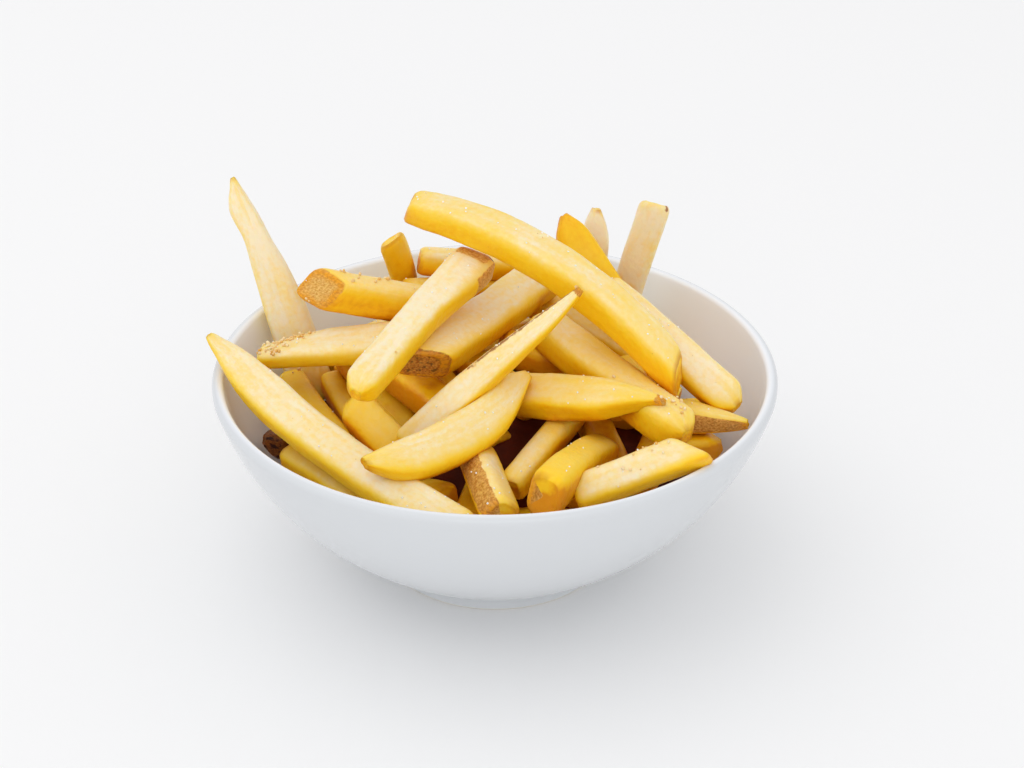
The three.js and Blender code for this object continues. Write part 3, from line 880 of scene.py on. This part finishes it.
drawn_out = add(tree, "Mapping", {"Vector": follow}, Scale=(STREAK_SQUEEZE, 1, 1)).outputs["Vector"]
streak = add(tree, "TexNoise", {"Vector": drawn_out}, Scale=1 / STREAK_WIDTH, Detail=2.0).outputs["Fac"]
blotch = add(tree, "TexNoise", {"Vector": follow}, Scale=1 / BLOTCH_SIZE, Detail=2.0).outputs["Fac"]
fleck = add(tree, "TexNoise", {"Vector": follow}, Scale=1 / FLECK_SIZE, Detail=3.0).outputs["Fac"]
grain = add(tree, "TexNoise", {"Vector": follow}, Scale=1 / GRAIN_SIZE, Detail=2.0).outputs["Fac"]
blister = add(tree, "TexVoronoi", {"Vector": follow}, Scale=1 / BLISTER_SIZE, feature="SMOOTH_F1")
blister = blister.outputs["Distance"]

# Painted light and shade: cream where the crust faces up, as if lit from above, and deep yellow down its
# sides and under, as if in shade.
normal = add(tree, "NewGeometry").outputs["Normal"]
upward = add(tree, "SeparateXYZ", {0: normal}).outputs["Z"]
upward = add(tree, "Mix", {0: CROWN_SHARE, 2: upward, 3: lit_top}).outputs[0]
wander = add(tree, "Math", {0: blotch, 1: 0.5, 2: -0.25}, operation="MULTIPLY_ADD").outputs[0]
lean = add(tree, "Math", {0: upward, 1: wander}, operation="ADD").outputs[0]
shaded_side = add(
    tree,
    "MapRange",
    {"Value": lean},
    From_Min=0.8,
    From_Max=-0.05,
    interpolation_type="SMOOTHSTEP",
).outputs[0]
margin = add(tree, "MapRange", {"Value": edge}, From_Min=2.4, From_Max=0.4).outputs[0]
fine_tone = dict(To_Min=-0.04, To_Max=0.04)
stripe = add(tree, "MapRange", {"Value": streak}, From_Min=0.36, From_Max=0.64, **fine_tone).outputs[0]
freckle = add(tree, "MapRange", {"Value": fleck}, From_Min=0.35, From_Max=0.65, **fine_tone).outputs[0]
gold = add(tree, "Math", {0: shaded_side, 1: 0.6, 2: stripe}, operation="MULTIPLY_ADD").outputs[0]
gold = add(tree, "Math", {0: margin, 1: 0.05, 2: gold}, operation="MULTIPLY_ADD").outputs[0]
gold = add(tree, "Math", {0: toast, 1: 0.7, 2: gold}, operation="MULTIPLY_ADD").outputs[0]
# Painted shade: the crust turns deeper yellow where its neighbours shelter it.
shade_gold = add(tree, "MapRange", {"Value": sheltered}, From_Min=0.45, From_Max=0.95, To_Max=0.4).outputs[0]
gold = add(tree, "Math", {0: gold, 1: shade_gold}, operation="ADD").outputs[0]
gold = add(tree, "Math", {0: gold, 1: freckle}, operation="ADD").outputs[0]
browning = add(tree, "ValToRGB", {"Fac": gold})
stops = browning.color_ramp.elements
for position, tint in BROWNING:
    stops.new(position).color = linear(tint)
stops[0].color = linear(PALE_CRUST)
stops[-1].color = linear(TOASTED_CRUST)
crisp = add(tree, "MapRange", {"Value": edge}, From_Min=1.3, From_Max=0.2, To_Max=0.7).outputs[0]
broken = add(tree, "MapRange", {"Value": blotch}, From_Min=0.44, From_Max=0.62).outputs[0]
crisp = add(tree, "Math", {0: crisp, 1: broken}, operation="MULTIPLY").outputs[0]
colour = {0: crisp, 6: browning.outputs[0], 7: linear(CRISP_EDGE)}
colour = add(tree, "Mix", colour, data_type="RGBA").outputs[2]
speck = add(tree, "MapRange", {"Value": grain}, From_Min=0.76, From_Max=0.82, To_Max=0.6).outputs[0]
colour = add(tree, "Mix", {0: speck, 6: colour, 7: linear(SPECK)}, data_type="RGBA").outputs[2]
# Painted shade: where it is most sheltered, the crust is mixed towards dark orange.
shade = add(tree, "MapRange", {"Value": sheltered}, From_Min=0.7, From_Max=1.0, To_Max=0.6).outputs[0]
colour = add(tree, "Mix", {0: shade, 6: colour, 7: linear(PAINTED_SHADE)}, data_type="RGBA").outputs[2]

# Skin is thin and leathery: golden with brown pits where it only dried, dark brown with black spots
# where it burned. The darkest skin goes on to near-black red: char on a burned end, and painted shade
# on the low fry at the left, which lies in deep shade. A seam is a fine brown line where a sharp edge
# fried first.
charred = add(tree, "MapRange", {"Value": dark}, From_Min=0.4, From_Max=0.85).outputs[0]
char_and_shade = add(tree, "Math", {0: dark, 1: 8.0}, operation="POWER").outputs[0]
spots = add(tree, "MapRange", {"Value": fleck}, From_Min=0.47, From_Max=0.41).outputs[0]
spots = add(tree, "Math", {0: spots, 1: charred}, operation="MULTIPLY").outputs[0]
pitting = add(tree, "MapRange", {"Value": grain}, From_Min=0.35, From_Max=0.65, To_Min=0.2).outputs[0]
inward = add(tree, "MapRange", {"Value": edge}, From_Min=0.4, From_Max=2.6).outputs[0]
inward = add(tree, "Math", {0: fleck, 1: 1.6, 2: inward}, operation="MULTIPLY_ADD").outputs[0]
inward = add(tree, "MapRange", {"Value": inward}, From_Min=0.7, From_Max=1.7).outputs[0]
dried = {0: inward, 6: linear(DRIED_SKIN[1]), 7: linear(DRIED_SKIN[2])}
dried = add(tree, "Mix", dried, data_type="RGBA").outputs[2]
dried = add(tree, "Mix", {0: pitting, 6: linear(DRIED_SKIN[0]), 7: dried}, data_type="RGBA").outputs[2]
pit = add(tree, "Math", {0: char_and_shade, 1: 0.35, 2: inward}, operation="MULTIPLY_ADD").outputs[0]
pit = add(tree, "MapRange", {"Value": pit}, From_Min=0.05, From_Max=0.35).outputs[0]
burned = {0: pitting, 6: linear(BURNED_SKIN[0]), 7: linear(BURNED_SKIN[1])}
burned = add(tree, "Mix", burned, data_type="RGBA").outputs[2]
burned = add(tree, "Mix", {0: spots, 6: burned, 7: linear(CHAR_SPOT)}, data_type="RGBA").outputs[2]
burned = add(tree, "Mix", {0: pit, 6: linear(BURNED_SKIN[2]), 7: burned}, data_type="RGBA").outputs[2]
rind = add(tree, "Mix", {0: dark, 6: dried, 7: burned}, data_type="RGBA").outputs[2]
char_and_shade = add(tree, "Math", {0: char_and_shade, 1: 0.6}, operation="MULTIPLY").outputs[0]
rind = add(tree, "Mix", {0: char_and_shade, 6: rind, 7: linear(CHAR_AND_SHADE_SKIN)}, data_type="RGBA").outputs[2]
ragged = add(tree, "Math", {0: fleck, 1: 1.0, 2: -0.5}, operation="MULTIPLY_ADD").outputs[0]
skinned = add(tree, "Math", {0: skin, 1: ragged}, operation="ADD").outputs[0]
skinned = add(tree, "MapRange", {"Value": skinned}, From_Min=0.4, From_Max=0.6).outputs[0]
colour = add(tree, "Mix", {0: skinned, 6: colour, 7: rind}, data_type="RGBA").outputs[2]
line = add(tree, "Math", {0: fleck, 1: 0.8, 2: seam}, operation="MULTIPLY_ADD").outputs[0]
line = add(tree, "MapRange", {"Value": line}, From_Min=1.1, From_Max=1.3, To_Max=0.85).outputs[0]
colour = add(tree, "Mix", {0: line, 6: colour, 7: linear(SEAM_LINE)}, data_type="RGBA").outputs[2]

relief = add(tree, "Math", {0: blister, 1: 0.5, 2: fleck}, operation="MULTIPLY_ADD").outputs[0]
relief = add(tree, "Math", {0: grain, 1: 0.35, 2: relief}, operation="MULTIPLY_ADD").outputs[0]
bump = add(tree, "Bump", {"Height": relief}, Strength=0.6, Distance=RELIEF_HEIGHT * MM)
bump = bump.outputs["Normal"]
satin = dict(To_Min=0.28, To_Max=0.55)
rough = add(tree, "MapRange", {"Value": blotch}, From_Min=0.35, From_Max=0.65, **satin).outputs[0]
surface = add(
    tree,
    "BsdfPrincipled",
    {"Base Color": colour, "Roughness": rough, "Normal": bump},
    Subsurface_Weight=0.25,
    Subsurface_Radius=(1.0, 0.55, 0.1),
    Subsurface_Scale=FLESH_DEPTH * MM,
    Specular_IOR_Level=0.35,
    IOR=1.45,
)
add(tree, "OutputMaterial", {"Surface": surface.outputs["BSDF"]})
for piece in (fries, bed):
    piece.data.materials.append(potato)
    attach(piece, "root")
    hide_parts("fries")

# --------------------------------------------------------------------------------------------------
# Salt and crumbs: grains of table salt, small cubes with worn corners, and scraps of crust broken off
# the fries' ends. Both lie where they fell, on the first fry under them, and the crumbs gather in a
# few places.
# --------------------------------------------------------------------------------------------------

SALT_COUNT = 300
SALT_SIZE = (0.25, 0.42)
SALT_BEVEL = 0.18  # share of a grain's edge
CRUMB_SIZE = (0.4, 1.0)
CRUMB_ROUGHNESS = 0.55
STRETCH = (0.7, 1.3)  # of a grain's three sizes, from a cube's
LIFT = 0.3  # share of its size from the fry to a grain's middle, so that it is pressed in a little
LEAST_LEVEL = 0.5  # the upward part of the normal that a grain can rest on
FALL_HEIGHT = 120
SPRINKLED_REACH = 62

# Where crumbs gather: the middle, how far they spread, and how many there are.
CRUMB_PATCHES = [
    ((-60, 6), 5, 60),
    ((-52, 10), 5, 20),
    ((-36, 20), 8, 24),
    ((34, -46), 10, 24),
    ((46, -32), 5, 12),
    ((0, 0), 55, 30),
]

heap_tree = BVHTree.FromPolygons(*merged((fries, bed)))


def scattered(name, one, spots, sizes, roughness):
    """One mesh of many grains: each a copy of one, turned, scaled and dented at random, on its spot."""
    corners = np.array([vertex.co for vertex in one.data.vertices])
    shape = [list(face.vertices) for face in one.data.polygons]
    bpy.data.objects.remove(one)
    points, faces = [], []
    for spot, normal in spots:
        size = draw(*sizes)
        turn = Euler([draw(0, math.pi) for _ in range(3)]).to_matrix()
        stretch = np.array([draw(*STRETCH) for _ in range(3)])
        dents = 1 + roughness * rough_field(corners * size, size, Vector(spot) * 3)
        grain = corners * stretch * dents[:, None] * size @ np.array(turn)
        faces += [[v + len(points) for v in face] for face in shape]
        points += list(grain + np.array(spot) + np.array(normal) * size * LIFT)
    mesh = bpy.data.meshes.new(name)
    mesh.from_pydata((np.array(points) * MM).tolist(), [], faces)
    piece = bpy.data.objects.new(name, mesh)
    bpy.context.scene.collection.objects.link(piece)
    return piece


def landing(x, y):
    """Where something dropped at x and y comes to rest, with the normal there, or None where it
    would slide off."""
    spot, normal, _, _ = heap_tree.ray_cast(Vector((x, y, FALL_HEIGHT)) * MM, Vector((0, 0, -1)))
    if spot is None or normal.z < LEAST_LEVEL:
        return None
    return spot / MM, normal


def sprinkled(middle, spread, count):
    spots = []
    for _ in range(count):
        radius, bearing = spread * math.sqrt(draw(0, 1)), draw(0, 2 * math.pi)
        x, y = middle[0] + radius * math.cos(bearing), middle[1] + radius * math.sin(bearing)
        spots.append(landing(x, y))
    return [spot for spot in spots if spot]


deselect()
bpy.ops.mesh.primitive_cube_add(size=1)
bpy.ops.object.mode_set(mode="EDIT")
bpy.ops.mesh.select_all(action="SELECT")
bpy.ops.mesh.bevel(offset=SALT_BEVEL, segments=1)
bpy.ops.object.mode_set(mode="OBJECT")
spots = sprinkled((0, 0), SPRINKLED_REACH, SALT_COUNT)
salt = scattered("salt_grains", bpy.context.object, spots, SALT_SIZE, 0)

deselect()
bpy.ops.mesh.primitive_ico_sphere_add(subdivisions=2, radius=0.5)
spots = [spot for patch in CRUMB_PATCHES for spot in sprinkled(*patch)]
crumbs = scattered("loose_crumbs", bpy.context.object, spots, CRUMB_SIZE, CRUMB_ROUGHNESS)

# Table salt: clear crystals that look white, with flat faces that glint.
SALT_WHITE = "#fbfaf6"

crystal, tree = material("salt_crystal")
surface = add(tree, "BsdfPrincipled", Base_Color=linear(SALT_WHITE), Roughness=0.2, IOR=1.54)
add(tree, "OutputMaterial", {"Surface": surface.outputs["BSDF"]})
salt.data.materials.append(crystal)

# Loose crust: dry scraps, from cream to golden brown, rough all over.
CRUST_TINTS = ("#e6b45c", "#f8e8c0")
CRUST_PATCH = 2.5  # mm

crust, tree = material("dry_crust")
place = add(tree, "TexCoord").outputs["Object"]
patch = add(tree, "TexNoise", {"Vector": place}, Scale=1 / (CRUST_PATCH * MM), Detail=1.0).outputs["Fac"]
patch = add(tree, "MapRange", {"Value": patch}, From_Min=0.35, From_Max=0.65).outputs[0]
colour = {0: patch, 6: linear(CRUST_TINTS[0]), 7: linear(CRUST_TINTS[1])}
colour = add(tree, "Mix", colour, data_type="RGBA").outputs[2]
surface = add(tree, "BsdfPrincipled", {"Base Color": colour}, Roughness=0.65, Specular_IOR_Level=0.25)
add(tree, "OutputMaterial", {"Surface": surface.outputs["BSDF"]})
crumbs.data.materials.append(crust)
for piece in (salt, crumbs):
    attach(piece, "root")

# --------------------------------------------------------------------------------------------------
# The core: the fries packed too deep to be told apart, as one mound that fills the bowl under the
# others, dark as painted shade.
# --------------------------------------------------------------------------------------------------

PACKED = dict(middle=(0, 0), reach=CORE["reach"] - 4, top=45, edge=30)
MOUND_STEPS = 14
CORE_SPIN_STEPS = 96

wall = [point for point in wall_points(WALL + GAP, WALL_STEPS) if point[1] < PACKED["edge"]]
across = np.linspace(PACKED["reach"], 0, MOUND_STEPS)
mound = [(radius, float(mound_height(radius, 0, PACKED))) for radius in across]
core = spun("packed_core", [(0, FLOOR_HEIGHT + GAP), *wall, *mound], CORE_SPIN_STEPS)

# Painted shade: the core is deep red brown and dull, in clumps a few mm across, so that what is seen
# between the fries is dark, like the shade there.
PAINTED_SHADE_TINTS = ("#240503", "#6a2408")
CLUMP_SIZE = 6
CLUMP_HEIGHT = 2

painted_core, tree = material("painted_shade_core")
place = add(tree, "TexCoord").outputs["Object"]
clump = add(tree, "TexNoise", {"Vector": place}, Scale=1 / (CLUMP_SIZE * MM), Detail=3.0).outputs["Fac"]
colour = {0: clump, 6: linear(PAINTED_SHADE_TINTS[0]), 7: linear(PAINTED_SHADE_TINTS[1])}
colour = add(tree, "Mix", colour, data_type="RGBA").outputs[2]
bump = add(tree, "Bump", {"Height": clump}, Strength=0.5, Distance=CLUMP_HEIGHT * MM).outputs["Normal"]
surface = add(
    tree,
    "BsdfPrincipled",
    {"Base Color": colour, "Normal": bump},
    Roughness=0.7,
    Specular_IOR_Level=0.2,
)
add(tree, "OutputMaterial", {"Surface": surface.outputs["BSDF"]})
core.data.materials.append(painted_core)
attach(core, "root")
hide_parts("fries")
